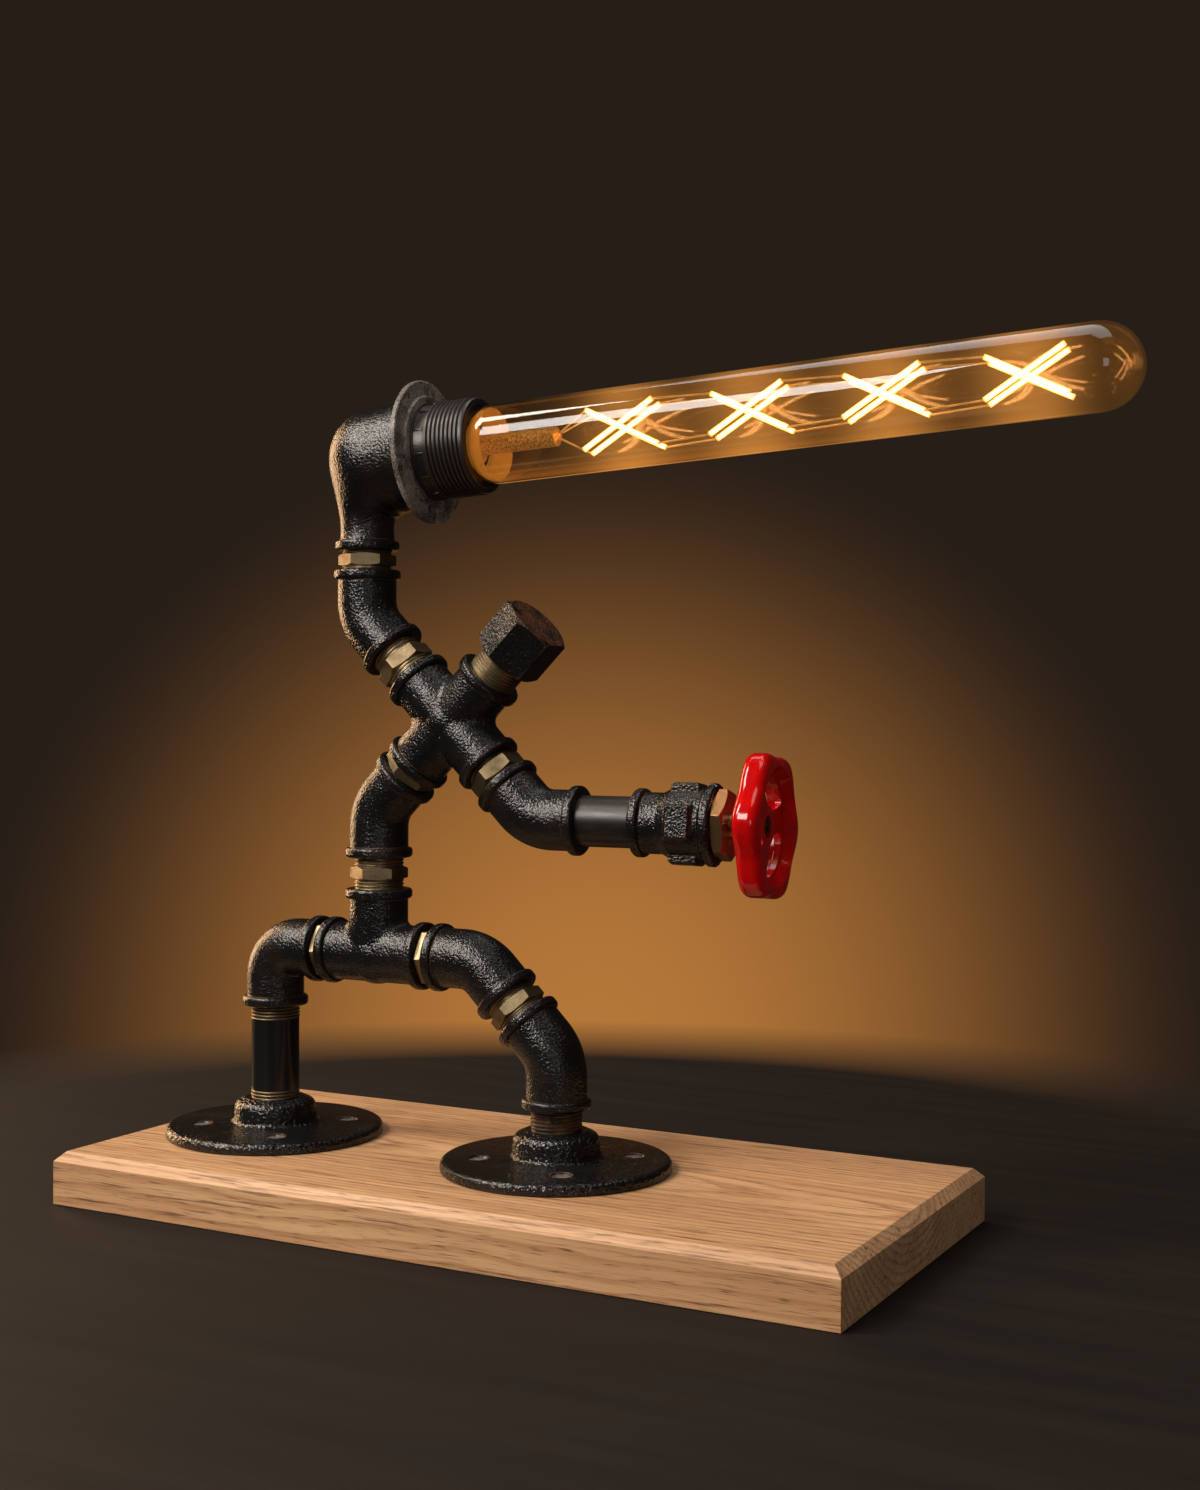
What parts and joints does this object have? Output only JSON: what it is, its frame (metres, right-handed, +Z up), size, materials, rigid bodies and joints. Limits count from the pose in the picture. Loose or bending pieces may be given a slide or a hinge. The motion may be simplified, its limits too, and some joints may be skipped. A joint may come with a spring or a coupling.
{
  "type": "pipe table lamp",
  "caption": "Table lamp built as a walking figure from cast pipe fittings on a wooden board, with a tube bulb as its head and a red hand wheel as its switch.",
  "frame": {"origin": "centre of the board's underside", "axes": "+X along the board towards the bulb's tip and the hand wheel, +Y towards the board's back edge, +Z up"},
  "size_m": [0.4196, 0.162, 0.344],
  "materials": {
    "oak": "satin",
    "black_iron": "satin",
    "black_pipe": "gloss",
    "dark_steel": "satin",
    "brass": "satin",
    "screw_steel": "satin",
    "bakelite": "satin",
    "ceramic": "matte",
    "nickel": "gloss",
    "black_glass": "gloss",
    "amber_glass": "gloss",
    "stem_glass": "gloss",
    "light": "gloss",
    "lead_sheath": "matte",
    "red_paint": "gloss"
  },
  "bodies": {
    "legs": {"base_board": "oak", "left_flange": "black_iron", "right_flange": "black_iron", "left_flange_screws": "screw_steel", "right_flange_screws": "screw_steel", "inlet_terminal": "ceramic", "left_leg_nipple": "black_pipe", "left_leg_elbow": "black_iron", "left_hip_nipple": "brass", "hip_tee": "black_iron", "right_hip_nipple": "brass", "right_thigh_elbow": "black_iron", "right_knee_nipple": "brass", "right_shin_elbow": "black_iron", "right_ankle_nipple": "dark_steel", "waist_nipple": "brass", "lead_base": "lead_sheath"},
    "torso": {"waist_elbow": "black_iron", "belly_nipple": "brass", "chest_cross": "black_iron", "cap_nipple": "brass", "hex_cap": "black_iron", "neck_root_nipple": "brass", "shoulder_nipple": "brass", "lead_torso": "lead_sheath", "lead_splice": "ceramic"},
    "neck": {"neck_elbow": "black_iron", "head_nipple": "brass", "lead_neck": "lead_sheath"},
    "head": {"head_elbow": "black_iron", "lamp_socket": "bakelite", "shade_ring": "bakelite", "socket_screw_shell": "brass", "socket_contact_block": "ceramic", "socket_centre_contact": "brass", "lead_head": "lead_sheath"},
    "bulb": {"bulb_cap": "nickel", "bulb_cap_insulator": "black_glass", "bulb_centre_contact": "nickel", "bulb_glass": "amber_glass", "bulb_stem": "stem_glass", "light_rods": "light", "filament_supports": "screw_steel"},
    "arm": {"arm_elbow": "black_iron", "forearm_pipe": "black_pipe", "arm_coupling": "black_iron", "hex_bushing": "brass", "rotary_switch": "brass", "lead_arm": "lead_sheath"},
    "wheel": {"switch_rotor": "ceramic", "switch_spindle": "screw_steel", "hand_wheel": "red_paint", "wheel_washer": "dark_steel", "wheel_screw": "dark_steel"}
  },
  "joints": [
    {"name": "waist_swivel", "type": "hinge", "parent": "legs", "child": "torso", "pos_m": [-0.0625, -0.006, 0.1635], "axis": [0, 0, 1], "range_deg": [-60, 60]},
    {"name": "neck_swivel", "type": "hinge", "parent": "torso", "child": "neck", "pos_m": [-0.069, -0.006, 0.24284], "axis": [-0.7071, 0, 0.7071], "range_deg": [-30, 30]},
    {"name": "head_swivel", "type": "hinge", "parent": "neck", "child": "head", "pos_m": [-0.069, -0.006, 0.30934], "axis": [0, 0, 1], "range_deg": [-90, 90]},
    {"name": "bulb_unscrew", "type": "slide", "parent": "head", "child": "bulb", "axis": [0.9952, 0.0766, 0.061], "range_m": [0, 0.035]},
    {"name": "shoulder_swivel", "type": "hinge", "parent": "torso", "child": "arm", "pos_m": [0.01295, -0.006, 0.16088], "axis": [0.7071, 0, -0.7071], "range_deg": [-60, 60]},
    {"name": "wheel_turn", "type": "hinge", "parent": "arm", "child": "wheel", "pos_m": [0.11236, 0.00482, 0.16029], "axis": [0.9941, 0.1082, -0.0059], "range_deg": [0, 270]}
  ]
}
